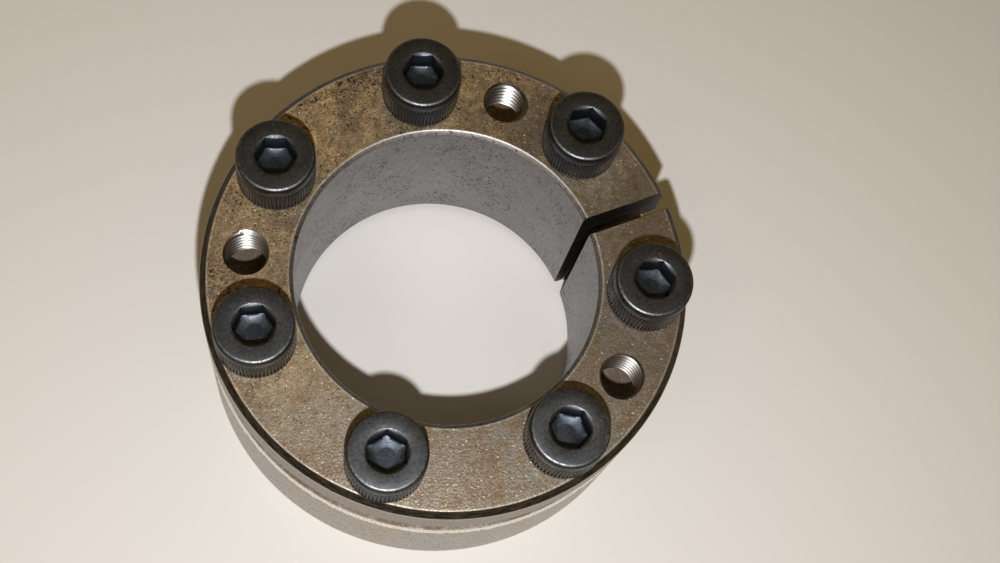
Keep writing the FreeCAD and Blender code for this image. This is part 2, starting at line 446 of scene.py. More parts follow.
def make_place():
    """Where a point is on the bush: its radius and its height, in mm."""
    tree, _, end = new_effect("Place On Bush", (),
                              (("Radius", "value"), ("Height", "value"), ("Point", "vector")))
    point = tree.vector("MULTIPLY", tree.node("ShaderNodeTexCoord").outputs["Object"],
                        (1 / MM, 1 / MM, 1 / MM))
    parts = tree.node("ShaderNodeSeparateXYZ")
    tree.feed(parts.inputs[0], point)
    across = tree.times(parts.outputs[0], parts.outputs[0])
    across = tree.scaled_plus(parts.outputs[1], parts.outputs[1], across)
    tree.feed(end["Radius"], tree.math("SQRT", across))
    tree.feed(end["Height"], parts.outputs[2])
    tree.feed(end["Point"], point)


def make_edge_wear_and_highlight():
    """A worn line within a width of an edge, broken up by noise; the finishes lighten it partly as
    a painted highlight.
    """
    tree, start, end = new_effect(
        "Edge Wear And Highlight",
        (("Distance", "value", 1.0), ("Width", "value", 0.2), ("Point", "vector", (0, 0, 0)),
         ("Break up", "value", 0.5)),
        (("Mask", "value"),))
    ragged = tree.noise(start["Point"], 1.3, 4, 0.7)
    ragged = tree.scaled_plus(tree.math("SUBTRACT", ragged, 0.5),
                       tree.times(start["Break up"], 2.0), 1.0)
    width = tree.times(start["Width"], ragged)
    near = tree.math("DIVIDE", start["Distance"], tree.math("MAXIMUM", width, 0.001))
    tree.feed(end["Mask"], tree.ramp(near, 0.55, 1.0, 1.0, 0.0))


def make_grain():
    """Fine mottled grain: a height, dark pits and bright glints, which the finishes paint in as
    highlights.
    """
    tree, start, end = new_effect(
        "Metal Grain",
        (("Point", "vector", (0, 0, 0)), ("Size", "value", 0.3)),
        (("Height", "value"), ("Pits", "value"), ("Painted Glints", "value")))
    scale = tree.math("DIVIDE", 1.0, start["Size"])
    fine = tree.noise(start["Point"], scale, 3, 0.65)
    tree.feed(end["Height"], fine)
    tree.feed(end["Pits"], tree.ramp(fine, 0.60, 0.72))
    other = tree.noise(tree.vector("ADD", start["Point"], (31, 17, 5)), scale, 2, 0.6)
    tree.feed(end["Painted Glints"], tree.ramp(other, 0.64, 0.74))


def make_patches():
    """Soft patches at two sizes, as of dried oil or light rust."""
    tree, start, end = new_effect(
        "Patches",
        (("Point", "vector", (0, 0, 0)), ("Size", "value", 12.0), ("Amount", "value", 0.5),
         ("Softness", "value", 0.15)),
        (("Mask", "value"),))
    scale = tree.math("DIVIDE", 1.0, start["Size"])
    broad = tree.noise(start["Point"], scale, 2, 0.5, 0.4)
    small = tree.noise(start["Point"], tree.times(scale, 7.0), 4, 0.65)
    both = tree.scaled_plus(small, 0.45, tree.times(broad, 0.55))
    middle = tree.math("SUBTRACT", 0.68, tree.times(start["Amount"], 0.36))
    low = tree.math("SUBTRACT", middle, start["Softness"])
    high = tree.math("ADD", middle, start["Softness"])
    tree.feed(end["Mask"], tree.ramp(both, low, high))


def make_tool_marks():
    """Fine grooves that a turning tool leaves, across a radius or along a height."""
    tree, start, end = new_effect(
        "Tool Marks",
        (("Across", "value", 0.0), ("Point", "vector", (0, 0, 0)), ("Spacing", "value", 0.2)),
        (("Height", "value"),))
    bent = tree.vector("MULTIPLY", start["Point"], (0.03, 0.03, 0.0))
    lines = tree.node("ShaderNodeCombineXYZ")
    tree.feed(lines.inputs[0], tree.math("DIVIDE", start["Across"], start["Spacing"]))
    drifting = tree.vector("ADD", bent, lines.outputs[0])
    tree.feed(end["Height"], tree.noise(drifting, 1.0, 3, 0.6))


def make_scratches():
    """Short marks that run one way."""
    tree, start, end = new_effect(
        "Scratches",
        (("Point", "vector", (0, 0, 0)), ("Length", "value", 3.0), ("Width", "value", 0.1),
         ("Amount", "value", 0.3)),
        (("Mask", "value"),))
    squeezed = tree.node("ShaderNodeCombineXYZ")
    along = tree.math("DIVIDE", 1.0, start["Length"])
    tree.feed(squeezed.inputs[0], along)
    tree.feed(squeezed.inputs[1], along)
    tree.feed(squeezed.inputs[2], tree.math("DIVIDE", 1.0, start["Width"]))
    stretched = tree.vector("MULTIPLY", start["Point"], squeezed.outputs[0])
    marks = tree.noise(stretched, 1.0, 2, 0.6, 0.3)
    middle = tree.math("SUBTRACT", 0.80, tree.times(start["Amount"], 0.3))
    tree.feed(end["Mask"], tree.ramp(marks, middle, tree.math("ADD", middle, 0.04)))


def make_curls():
    """Thin dark curly marks, gathered in patches."""
    tree, start, end = new_effect(
        "Curly Marks",
        (("Point", "vector", (0, 0, 0)), ("Size", "value", 1.5), ("Width", "value", 0.03),
         ("Amount", "value", 0.4)),
        (("Mask", "value"),))
    scale = tree.math("DIVIDE", 1.0, start["Size"])
    wave = tree.noise(start["Point"], scale, 1, 0.5, 1.2)
    off = tree.math("ABSOLUTE", tree.math("SUBTRACT", wave, 0.5))
    line = tree.ramp(off, tree.times(start["Width"], 0.4), start["Width"], 1.0, 0.0)
    short = tree.noise(tree.vector("ADD", start["Point"], (13, 4, 9)),
                       tree.times(scale, 1.6), 1, 0.5)
    broad = tree.noise(start["Point"], tree.times(scale, 0.12), 2, 0.5)
    middle = tree.scaled_plus(start["Amount"], -0.4, 0.82)
    kept = tree.scaled_plus(broad, 0.5, tree.times(short, 0.5))
    kept = tree.ramp(kept, middle, tree.math("ADD", middle, -0.12), 1.0, 0.0)
    tree.feed(end["Mask"], tree.times(line, kept))


def new_finish(name, metallic, roughness):
    """A material with one plain Principled shader. Returns the material, its tree and the
    shader's inputs."""
    material = bpy.data.materials.new(name)
    material.use_nodes = True
    material.node_tree.nodes.clear()
    tree = Tree(material.node_tree)
    shader = tree.node("ShaderNodeBsdfPrincipled")
    out = tree.node("ShaderNodeOutputMaterial")
    tree.feed(out.inputs["Surface"], shader.outputs[0])
    tree.feed(shader.inputs["Metallic"], metallic)
    tree.feed(shader.inputs["Roughness"], roughness)
    return material, tree, shader.inputs


def colours():
    """The colours set for the bush."""
    return bpy.context.scene.bush_colours


def toned(colour, factor):
    """A colour made lighter or darker."""
    return tuple(factor * part for part in colour)


def shared(name, make):
    """The finish of that name, made only once."""
    return bpy.data.materials.get(name) or make()


def distance_to_rim(tree, place, radius, height):
    """Distance from a circular rim about the bush's axis, in mm."""
    across = tree.math("SUBTRACT", place["Radius"], radius)
    up = tree.math("SUBTRACT", place["Height"], height)
    square = tree.times(across, across)
    return tree.math("SQRT", tree.scaled_plus(up, up, square))


def nearest(tree, distances):
    """The smallest of several distances."""
    result = distances[0]
    for other in distances[1:]:
        result = tree.math("MINIMUM", result, other)
    return result


# ---- the finishes

def make_flange_face():
    """Turned face under a brown, mottled film of oil, with curly marks, rust and painted glints,
    and bright rims partly worn and partly painted highlights.
    """
    material, tree, shader = new_finish("Oiled flange face", 1.0, 0.5)
    place = tree.group("Place On Bush")
    point = place["Point"]
    grain = tree.group("Metal Grain", point=point, size=0.42)
    coarse = tree.group("Metal Grain", point=point, size=1.3)
    # The colour turns from grey-brown to golden oil, and the film and curly marks spread, towards
    # the -X, +Y side.
    lean = tree.vector("DOT_PRODUCT", point, (-0.0025, 0.0075, 0))
    film = tree.group("Patches", point=point, size=14.0, amount=tree.math("ADD", lean, 0.28),
                      softness=0.2)["Mask"]
    rust = tree.group("Patches", point=tree.vector("ADD", point, (7, 40, 3)), size=4.0,
                      amount=0.38, softness=0.08)["Mask"]
    curls = tree.group("Curly Marks", point=point, size=1.0, width=0.045,
                       amount=tree.scaled_plus(lean, 1.3, 0.35))["Mask"]
    marks = tree.group("Tool Marks", across=place["Radius"], point=point, spacing=0.3)["Height"]
    oil = tuple(colours().oil)
    tint = tree.mix(tree.ramp(lean, -0.08, 0.12), (0.254, 0.227, 0.19), oil)
    colour = tree.mix(film, (0.243, 0.227, 0.208), tint)
    colour = tree.mix(tree.ramp(coarse["Height"], 0.42, 0.6, 0.0, 0.5), colour,
                      toned(oil, 0.36))
    colour = tree.mix(tree.ramp(grain["Height"], 0.36, 0.56, 0.75, 0.0), colour,
                      toned(oil, 0.25))
    colour = tree.over(colour, tuple(colours().rust), rust, 0.5)
    colour = tree.over(colour, (0.022, 0.015, 0.01), curls, 0.95)
    spots = tree.times(coarse["Pits"], tree.scaled_plus(film, 0.4, 0.2))
    colour = tree.mix(spots, colour, (0.03, 0.02, 0.012))
    # Painted glints: bright specks painted into the colour as highlights.
    colour = tree.over(colour, (0.85, 0.78, 0.66), grain["Painted Glints"], 0.9)
    bore = bpy.context.scene.bush_sizes.bore
    rims = nearest(tree, [
        distance_to_rim(tree, place, RING_RADIUS - FLANGE_CHAMFER, FLANGE_FACE),
        distance_to_rim(tree, place, bore / 2 + BORE_CHAMFER, FLANGE_FACE)])
    # Bright lines at both rims: partly edge wear, partly painted highlight.
    wear_and_highlight = tree.group("Edge Wear And Highlight", distance=rims, width=0.3, point=point, break_up=0.9)["Mask"]
    colour = tree.over(colour, (0.75, 0.72, 0.66), wear_and_highlight, 0.2)
    tree.feed(shader["Base Color"], colour)
    rough = tree.ramp(grain["Height"], 0.3, 0.7, 0.52, 0.38)
    rough = tree.scaled_plus(wear_and_highlight, 0.05, rough)
    tree.feed(shader["Roughness"], tree.scaled_plus(rust, 0.15, rough))
    tree.feed(shader["Metallic"], tree.scaled_plus(film, -0.6, 0.95))
    height = tree.scaled_plus(marks, 0.25, grain["Height"])
    height = tree.scaled_plus(curls, -0.6, height)
    tree.feed(shader["Normal"], tree.bump(height, 0.00008, 0.7))
    return material


def make_dark_chamfer():
    """The flange's chamfer, dark with oil, with bright lines at its edges, partly rubbed and
    partly painted highlights.
    """
    material, tree, shader = new_finish("Oily dark chamfer", 1.0, 0.42)
    place = tree.group("Place On Bush")
    grain = tree.group("Metal Grain", point=place["Point"], size=0.4)
    marks = tree.group("Tool Marks", across=place["Height"], point=place["Point"], spacing=0.18)
    streaks = tree.noise(tree.vector("MULTIPLY", place["Point"], (0.5, 0.5, 5.0)), 1.0, 3, 0.6)
    colour = tree.mix(tree.ramp(streaks, 0.35, 0.65), (0.036, 0.032, 0.029),
                      (0.13, 0.115, 0.10))
    # Painted glints: bright specks painted into the colour as highlights.
    colour = tree.over(colour, (0.5, 0.46, 0.42), grain["Painted Glints"], 0.25)
    rims = nearest(tree, [
        distance_to_rim(tree, place, RING_RADIUS - FLANGE_CHAMFER, FLANGE_FACE),
        distance_to_rim(tree, place, RING_RADIUS, FLANGE_FACE - FLANGE_CHAMFER)])
    # Bright lines at the chamfer's edges: partly edge wear, partly painted highlight.
    wear_and_highlight = tree.group("Edge Wear And Highlight", distance=rims, width=0.2, point=place["Point"],
                      break_up=0.9)["Mask"]
    colour = tree.over(colour, (0.65, 0.60, 0.53), wear_and_highlight, 0.5)
    tree.feed(shader["Base Color"], colour)
    height = tree.scaled_plus(grain["Height"], 0.4, marks["Height"])
    tree.feed(shader["Normal"], tree.bump(height, 0.00005, 0.4))
    return material


def make_turned_side():
    """Satin turned wall of both rings, fine grooves round it."""
    material, tree, shader = new_finish("Turned side", 1.0, 0.4)
    place = tree.group("Place On Bush")
    point = place["Point"]
    tall = tree.vector("MULTIPLY", point, (1, 1, 0.6))
    grain = tree.group("Metal Grain", point=tall, size=0.34)
    marks = tree.group("Tool Marks", across=place["Height"], point=point, spacing=0.14)["Height"]
    stain = tree.group("Patches", point=point, size=10.0, amount=0.35, softness=0.15)["Mask"]
    steel = tuple(colours().steel)
    colour = tree.mix(tree.ramp(marks, 0.3, 0.7), toned(steel, 0.8),
                      toned(steel, 1.15))
    colour = tree.over(colour, tuple(colours().oil), stain, 0.45)
    above = tree.ramp(place["Height"], RING_TOP + 2, RING_TOP + 4, 0.0, 0.45)
    colour = tree.mix(above, colour, (0.13, 0.11, 0.09))
    colour = tree.mix(tree.ramp(grain["Height"], 0.4, 0.55, 0.75, 0.0), colour, (0.12, 0.10, 0.09))
    specks = tree.group("Metal Grain", point=tall, size=0.7)
    colour = tree.over(colour, tuple(colours().rust), specks["Pits"], 0.8)
    # Painted glints: bright specks painted into the colour as highlights.
    colour = tree.over(colour, (0.9, 0.88, 0.85), grain["Painted Glints"], 0.5)
    rims = nearest(tree, [
        distance_to_rim(tree, place, RING_RADIUS, FLANGE_FACE - FLANGE_CHAMFER),
        distance_to_rim(tree, place, RING_RADIUS, RIM_CHAMFER)])
    # Bright lines at the flange's and ring's edges: partly edge wear, partly painted highlight.
    wear_and_highlight = tree.group("Edge Wear And Highlight", distance=rims, width=0.24, point=point, break_up=0.9)["Mask"]
    # Bright line at the outer ring's top edge: partly wear, partly a painted highlight.
    top = distance_to_rim(tree, place, RING_RADIUS - RIM_CHAMFER / 2, RING_TOP - RIM_CHAMFER / 2)
    top = tree.group("Edge Wear And Highlight", distance=top, width=0.42, point=point, break_up=0.9)["Mask"]
    wear_and_highlight = tree.math("MAXIMUM", wear_and_highlight, top)
    colour = tree.over(colour, (0.88, 0.86, 0.82), wear_and_highlight, 0.8)
    tree.feed(shader["Base Color"], colour)
    rough = tree.ramp(grain["Height"], 0.3, 0.7, 0.36, 0.52)
    tree.feed(shader["Roughness"], tree.scaled_plus(wear_and_highlight, -0.15, rough))
    tree.feed(shader["Metallic"], tree.scaled_plus(top, -0.6, 1.0))
    height = tree.scaled_plus(marks, 0.6, grain["Height"])
    tree.feed(shader["Normal"], tree.bump(height, 0.00008, 0.6))
    return material


def make_bore_wall():
    """Satin ground bore with short scratches, dark specks and a bright line at its edge, partly
    worn and partly a painted highlight.
    """
    material, tree, shader = new_finish("Ground bore", 1.0, 0.5)
    place = tree.group("Place On Bush")
    point = place["Point"]
    grain = tree.group("Metal Grain", point=point, size=0.4)
    marks = tree.group("Tool Marks", across=place["Height"], point=point, spacing=0.12)["Height"]
    level = tree.group("Scratches", point=point, length=1.6, width=0.16, amount=0.5)["Mask"]
    steep = tree.group("Scratches", point=tree.vector("ADD", point, (5, 9, 2)), length=0.18,
                       width=1.1, amount=0.5)["Mask"]
    bloom = tree.group("Patches", point=point, size=14.0, amount=0.5, softness=0.2)["Mask"]
    colour = tree.mix(bloom, (0.27, 0.265, 0.272), (0.345, 0.34, 0.345))
    colour = tree.mix(tree.ramp(grain["Height"], 0.35, 0.65, 0.3, 0.0), colour, (0.2, 0.2, 0.2))
    curls = tree.group("Curly Marks", point=point, size=1.0, width=0.045, amount=0.62)["Mask"]
    specks = tree.math("MAXIMUM", tree.math("MAXIMUM", level, steep), curls)
    colour = tree.over(colour, (0.04, 0.03, 0.025), specks, 0.85)
    radius = bpy.context.scene.bush_sizes.bore / 2
    rim = nearest(tree, [distance_to_rim(tree, place, radius, FLANGE_FACE - BORE_CHAMFER),
                         distance_to_rim(tree, place, radius + BORE_CHAMFER, FLANGE_FACE)])
    # Bright line at the bore's rim: partly edge wear, partly painted highlight.
    wear_and_highlight = tree.group("Edge Wear And Highlight", distance=rim, width=0.2, point=point, break_up=0.5)["Mask"]
    colour = tree.over(colour, (0.7, 0.67, 0.62), wear_and_highlight, 0.3)
    tree.feed(shader["Base Color"], colour)
    tree.feed(shader["Roughness"], tree.ramp(grain["Height"], 0.3, 0.7, 0.42, 0.58))
    tree.feed(shader["Normal"], tree.bump(marks, 0.00004, 0.35))
    return material


def make_rusty_face():
    """The ring faces that stand inside the gap: speckled brown."""
    material, tree, shader = new_finish("Rust speckled face", 1.0, 0.55)
    place = tree.group("Place On Bush")
    point = place["Point"]
    grain = tree.group("Metal Grain", point=point, size=0.45)
    rust = tree.group("Patches", point=point, size=5.0, amount=0.6, softness=0.1)["Mask"]
    colour = tree.mix(rust, (0.24, 0.22, 0.195), (0.13, 0.09, 0.06))
    # Painted glints: bright specks painted into the colour as highlights.
    colour = tree.over(colour, (0.6, 0.5, 0.4), grain["Painted Glints"], 0.6)
    colour = tree.over(colour, (0.04, 0.025, 0.015), grain["Pits"], 0.7)
    tree.feed(shader["Base Color"], colour)
    tree.feed(shader["Metallic"], tree.scaled_plus(rust, -0.5, 1.0))
    tree.feed(shader["Normal"], tree.bump(grain["Height"], 0.00006, 0.5))
    return material


def make_ground_taper():
    """Ground taper walls, between the rings."""
    material, tree, shader = new_finish("Ground taper", 1.0, 0.38)
    place = tree.group("Place On Bush")
    marks = tree.group("Tool Marks", across=place["Height"], point=place["Point"], spacing=0.1)
    stain = tree.group("Patches", point=place["Point"], size=8.0, amount=0.5, softness=0.2)
    colour = tree.mix(stain["Mask"], (0.44, 0.42, 0.40), (0.33, 0.27, 0.19))
    tree.feed(shader["Base Color"], colour)
    tree.feed(shader["Normal"], tree.bump(marks["Height"], 0.00004, 0.35))
    return material


def make_sawn_slot():
    """Slot walls, near black, with the lines a saw leaves."""
    material, tree, shader = new_finish("Sawn slot wall", 1.0, 0.5)
    place = tree.group("Place On Bush")
    lines = tree.vector("MULTIPLY", place["Point"], (0.25, 1.0, 3.5))
    sawn = tree.noise(lines, 1.0, 3, 0.6)
    colour = tree.mix(tree.ramp(sawn, 0.35, 0.65), (0.012, 0.012, 0.012), (0.085, 0.082, 0.078))
    tree.feed(shader["Base Color"], colour)
    tree.feed(shader["Normal"], tree.bump(sawn, 0.00008, 0.5))
    return material


def make_cut_thread():
    """Bright, freshly cut thread."""
    material, tree, shader = new_finish("Cut thread", 1.0, 0.3)
    place = tree.group("Place On Bush")
    grain = tree.group("Metal Grain", point=place["Point"], size=0.5)
    colour = tree.mix(grain["Height"], (0.12, 0.115, 0.11), (0.27, 0.26, 0.255))
    tree.feed(shader["Base Color"], colour)
    tree.feed(shader["Normal"], tree.bump(grain["Height"], 0.00003, 0.3))
    return material


def make_turned_end():
    """Faced end of the outer ring, tool marks round it."""
    material, tree, shader = new_finish("Turned end face", 1.0, 0.42)
    place = tree.group("Place On Bush")
    marks = tree.group("Tool Marks", across=place["Radius"], point=place["Point"], spacing=0.2)
    stain = tree.group("Patches", point=place["Point"], size=11.0, amount=0.35, softness=0.15)
    steel = tuple(colours().steel)
    colour = tree.mix(marks["Height"], toned(steel, 0.75),
                      toned(steel, 1.1))
    colour = tree.over(colour, tuple(colours().oil), stain["Mask"], 0.4)
    tree.feed(shader["Base Color"], colour)
    tree.feed(shader["Normal"], tree.bump(marks["Height"], 0.00006, 0.5))
    return material


def make_plain_hole():
    """Drilled wall of the clearance holes."""
    material, tree, shader = new_finish("Drilled hole", 1.0, 0.45)
    place = tree.group("Place On Bush")
    marks = tree.group("Tool Marks", across=place["Height"], point=place["Point"], spacing=0.25)
    tree.feed(shader["Base Color"],
              tree.mix(marks["Height"], (0.18, 0.165, 0.15), (0.34, 0.32, 0.30)))
    tree.feed(shader["Normal"], tree.bump(marks["Height"], 0.00005, 0.4))
    return material


def make_black_oxide(name, base_share, roughness, bump):
    """Black oxide, rubbed to bare metal where the mesh attribute says (on the head's rim partly a
    painted highlight), with a trace of rust and painted glints.
    """
    material, tree, shader = new_finish(name, 1.0, roughness)
    place = tree.group("Place On Bush")
    point = place["Point"]
    grain = tree.group("Metal Grain", point=point, size=0.22)
    patch = tree.group("Patches", point=point, size=4.0, amount=0.45, softness=0.2)["Mask"]
    rust = tree.group("Patches", point=tree.vector("ADD", point, (3, 8, 1)), size=3.0,
                      amount=0.12, softness=0.04)["Mask"]
    # The rubbed attribute: bare metal from wear, and on the head's rim partly a painted highlight.
    rubbed = tree.node("ShaderNodeAttribute", attribute_name="rubbed").outputs["Fac"]
    black = toned(colours().oxide, base_share)
    colour = tree.mix(patch, toned(black, 0.75),
                      toned(black, 1.35))
    colour = tree.over(colour, (0.16, 0.075, 0.03), rust, 0.5)
    # Painted glints: bright specks painted into the colour as highlights.
    colour = tree.over(colour, (0.35, 0.34, 0.33), grain["Painted Glints"], 0.25)
    ragged = tree.noise(point, 2.2, 4, 0.7)
    share = tree.times(rubbed, tree.ramp(ragged, 0.32, 0.62, 0.25, 1.0))
    colour = tree.mix(share, colour, (0.52, 0.50, 0.47))
    tree.feed(shader["Base Color"], colour)
    rough = tree.ramp(grain["Height"], 0.3, 0.7, roughness - 0.07, roughness + 0.1)
    tree.feed(shader["Roughness"], tree.scaled_plus(rust, 0.2, rough))
    tree.feed(shader["Normal"], tree.bump(grain["Height"], bump * MM, 0.5))
    return material


def make_floor_paint():
    """Pale matt table top."""
    material, tree, shader = new_finish("Pale table", 0.0, 0.7)
    point = tree.node("ShaderNodeTexCoord").outputs["Object"]
    broad = tree.noise(point, 6.0, 2, 0.5)
    fine = tree.noise(point, 900.0, 2, 0.6)
    pale = tuple(colours().floor)
    colour = tree.mix(broad, toned(pale, 0.985), pale)
    tree.feed(shader["Base Color"], colour)
    tree.feed(shader["Normal"], tree.bump(fine, 0.00003, 0.3))
    return material


def make_effects():
    """The node groups that the finishes share."""
    make_place()
    make_edge_wear_and_highlight()
    make_grain()
    make_patches()
    make_tool_marks()
    make_scratches()
    make_curls()


# ---- pieces

def sleeve_radius(height):
    """Outside of the inner ring's taper at a height above the floor, mm."""
    sizes = bpy.context.scene.bush_sizes
    return sizes.thin_end / 2 + (height - THIN_END) * math.tan(sizes.taper)


def zones_by_band(bm, bands):
    """Give each face the slot of the outline band it lies nearest to."""
    for face in bm.faces:
        middle = face.calc_center_median()
        spot = Vector((math.hypot(middle.x, middle.y), middle.z))
        best = None
        for (one, other, zone) in bands:
            start, run = Vector(one), Vector(other) - Vector(one)
            share = max(0.0, min(1.0, (spot - start).dot(run) / run.length_squared))
            gap = (spot - start - share * run).length
            if best is None or gap < best[0]:
                best = (gap, zone)
        face.material_index = best[1]
        face.smooth = True


def turned_ring(corners, zones, edge):
    """A turned ring whose bands take the given slots. Band n runs from corner n to the next."""
    bm = turned(corners, ROUND_STEPS, edge)
    ends = corners[1:] + corners[:1]
    zones_by_band(bm, list(zip(corners, ends, zones)))
    return bm


class BUSH_OT_inner_ring(bpy.types.Operator):
    """Build the flanged inner ring"""
    bl_idname = "bush.inner_ring"
    bl_label = "Inner ring"

    def execute(self, context):
        sizes = context.scene.bush_sizes
        bore = sizes.bore / 2
        back = FLANGE_FACE - sizes.flange
        relief = back - RELIEF_LENGTH
        neck = sleeve_radius(relief) - RELIEF_DEPTH
        corners = [
            (bore + BORE_CHAMFER, THIN_END), (sleeve_radius(THIN_END), THIN_END),
            (sleeve_radius(relief), relief), (neck, relief), (neck, back),
            (RING_RADIUS - RIM_CHAMFER, back), (RING_RADIUS, back + RIM_CHAMFER),
            (RING_RADIUS, FLANGE_FACE - FLANGE_CHAMFER),
            (RING_RADIUS - FLANGE_CHAMFER, FLANGE_FACE), (bore + BORE_CHAMFER, FLANGE_FACE),
            (bore, FLANGE_FACE - BORE_CHAMFER), (bore, THIN_END + BORE_CHAMFER)]
        face, chamfer, side, wall, rusty, taper, slot, thread, hole = range(9)
        zones = [taper, taper, taper, taper, rusty, side, side, chamfer, face, wall, wall, wall]
        finishes = [make_flange_face(), make_dark_chamfer(),
                    shared("Turned side", make_turned_side), make_bore_wall(),
                    shared("Rust speckled face", make_rusty_face),
                    shared("Ground taper", make_ground_taper),
                    shared("Sawn slot wall", make_sawn_slot),
                    shared("Cut thread", make_cut_thread), make_plain_hole()]
        ring = new_piece(turned_ring(corners, zones, sizes.edge), "flanged_inner_ring", finishes)
        holes = []
        for number in range(1, SCREWS + 1):
            plain = paint_zone(rod(sizes.screw_hole / 2, back - 2, FLANGE_FACE + 2), hole)
            holes.append(moved(plain, place_on_circle(screw_angle(number))))
        mouths = []
        for count in JACK_PLACES:       # each thread also starts at its own angle
            place = place_on_circle(count * PITCH_ANGLE)
            hole_cutter, ends = tapped_hole(back, FLANGE_FACE, thread, place, count)
            holes.append(hole_cutter)
            mouths += ends
        holes.append(paint_zone(slot_cutter(THIN_END, FLANGE_FACE), slot))
        combine(ring, joined(holes), "DIFFERENCE")
        combine(ring, joined(mouths), "DIFFERENCE")
        finish_piece(ring)
        fits(ring, "inner_ring")
        return {"FINISHED"}


class BUSH_OT_outer_ring(bpy.types.Operator):
    """Build the slotted outer ring with its tapped holes"""
    bl_idname = "bush.outer_ring"
    bl_label = "Outer ring"

    def execute(self, context):
        sizes = context.scene.bush_sizes

        def bore(height):
            return sleeve_radius(height) + sizes.taper_gap

        corners = [
            (bore(0) + RIM_CHAMFER, 0), (RING_RADIUS - RIM_CHAMFER, 0),
            (RING_RADIUS, RIM_CHAMFER), (RING_RADIUS, RING_TOP - RIM_CHAMFER),
            (RING_RADIUS - RIM_CHAMFER, RING_TOP), (bore(RING_TOP), RING_TOP),
            (bore(RIM_CHAMFER), RIM_CHAMFER)]
        side, rusty, taper, end, slot, thread = range(6)
        zones = [end, side, side, side, rusty, taper, taper]
        finishes = [shared("Turned side", make_turned_side),
                    shared("Rust speckled face", make_rusty_face),
                    shared("Ground taper", make_ground_taper), make_turned_end(),
                    shared("Sawn slot wall", make_sawn_slot),
                    shared("Cut thread", make_cut_thread)]
        ring = new_piece(turned_ring(corners, zones, sizes.edge), "slotted_outer_ring", finishes)
        holes = []
        mouths = []
        for number, turn in enumerate(SOCKET_TURNS, start=1):
            place = place_on_circle(screw_angle(number))
            hole_cutter, ends = tapped_hole(0, RING_TOP, thread, place, math.radians(turn))
            holes.append(hole_cutter)
            mouths += ends
        holes.append(paint_zone(slot_cutter(0, RING_TOP), slot))
        combine(ring, joined(holes), "DIFFERENCE")
        combine(ring, joined(mouths), "DIFFERENCE")
        finish_piece(ring)
        fits(ring, "outer_ring")
        return {"FINISHED"}


def hexagon_radius(angle, flats):
    """Distance from the middle of a hexagon to its wall at an angle."""
    off = angle % (TURN / 6) - TURN / 12
    return flats / 2 / math.cos(off)


def head_rings(screw):
    """The head's rings from the seat up and down into the socket: radius and height by angle."""
    full = screw.head / 2
    tall = HEAD_TOP - FLANGE_FACE
    floor = tall - screw.socket_depth
    flats = screw.socket
    mouth = flats / 2 + 0.48

    def plain(radius, height):
        return lambda number, angle: (radius, height)

    def knurled(height):
        return lambda number, angle: (full - (0.02 if number % 4 < 2 else 0.24), height)

    def hexagon(height):
        return lambda number, angle: (hexagon_radius(angle, flats), height)

    def lip(number, angle):
        radius = hexagon_radius(angle, flats)
        return radius, tall - 0.02 - max(0.0, mouth - radius) * 0.7

    def foot(number, angle):
        radius = hexagon_radius(angle, flats) - 0.06
        return radius, floor - 0.03

    slope = math.tan(SOCKET_FLOOR_ANGLE)
    rings = [plain(full - 0.3, 0.0), plain(full - 0.05, 0.28), plain(full - 0.05, 0.75),
             knurled(KNURL_LOW), knurled(KNURL_HIGH), plain(full - 0.17, KNURL_END),
             plain(full - 0.1, 5.75), plain(full - 0.1, 7.1), plain(full - 0.14, 7.3)]
    corner, round_off = full - 0.14, 0.62
    for share in (0.25, 0.5, 0.75, 1.0):
        bend = share * math.pi / 2
        rings.append(plain(corner - round_off * (1 - math.cos(bend)),
                           7.38 + round_off * math.sin(bend)))
    rings += [plain(mouth + 0.12, tall), plain(mouth, tall - 0.02), lip, hexagon(floor + 0.06),
              foot, plain(flats / 2 - 0.35, floor - 0.2),
              plain(1.66, floor - slope * (flats / 2 - 1.66)),
              plain(1.5, floor - slope * (flats / 2 - 1.62))]
    return rings


def rubbed_and_highlight_share(radius, height):
    """How far the oxide is rubbed off at a place on the screw, by radius and height in mm; at the
    head's rim partly a painted highlight.
    """
    rim_gap = math.dist((radius, height), HEAD_RIM)
    mouth_gap = math.dist((radius, height), SOCKET_MOUTH)
    # The head's rim: partly wear, partly a painted highlight.
    on_rim = max(0.0, 1 - rim_gap / 0.34) * 0.35
    on_mouth = max(0.0, 1 - mouth_gap / 0.45) * 0.15
    knurled = radius > KNURL_CREST and KNURL_LOW - 0.15 < height < KNURL_HIGH + 0.05
    return max(on_rim, on_mouth, 0.15 if knurled else 0.0)


def make_screw_mesh(context):
    """One screw head about the Z axis: knurled, with a hexagon socket, in mm."""
    screw = context.scene.screw_sizes
    bm = bmesh.new()
    rings = head_rings(screw)
    bmesh.ops.create_circle(bm, cap_ends=True, radius=1, segments=HEAD_STEPS)
    bm.verts.ensure_lookup_table()
    rim = sorted(bm.verts, key=lambda vert: math.atan2(vert.co.y, vert.co.x) % TURN)
    edges = bm.edges[:]
    for level, ring in enumerate(rings):
        if level:
            grown = bmesh.ops.extrude_edge_only(bm, edges=edges)["geom"]
            edges = [item for item in grown if isinstance(item, bmesh.types.BMEdge)]
            edges = [item for item in edges
                     if all(end in grown for end in item.verts)]
            rim = [item for item in grown if isinstance(item, bmesh.types.BMVert)]
            rim = sorted(rim, key=lambda vert: round(math.atan2(vert.co.y, vert.co.x) % TURN, 5))
        for number, vert in enumerate(rim):
            angle = TURN * number / HEAD_STEPS
            radius, height = ring(number, angle)
            vert.co = (radius * math.cos(angle), radius * math.sin(angle), FLANGE_FACE + height)
    bmesh.ops.holes_fill(bm, edges=[item for item in bm.edges if item.is_boundary], sides=0)
    bmesh.ops.recalc_face_normals(bm, faces=bm.faces[:])
    for face in bm.faces:
        middle = face.calc_center_median()
        out = math.hypot(middle.x, middle.y)
        inside = out < screw.socket / 2 + 0.6 and middle.z > FLANGE_FACE + 2
        face.material_index = 2 if inside else (1 if middle.z < FLANGE_FACE + KNURL_END else 0)
        face.smooth = True
    return bm


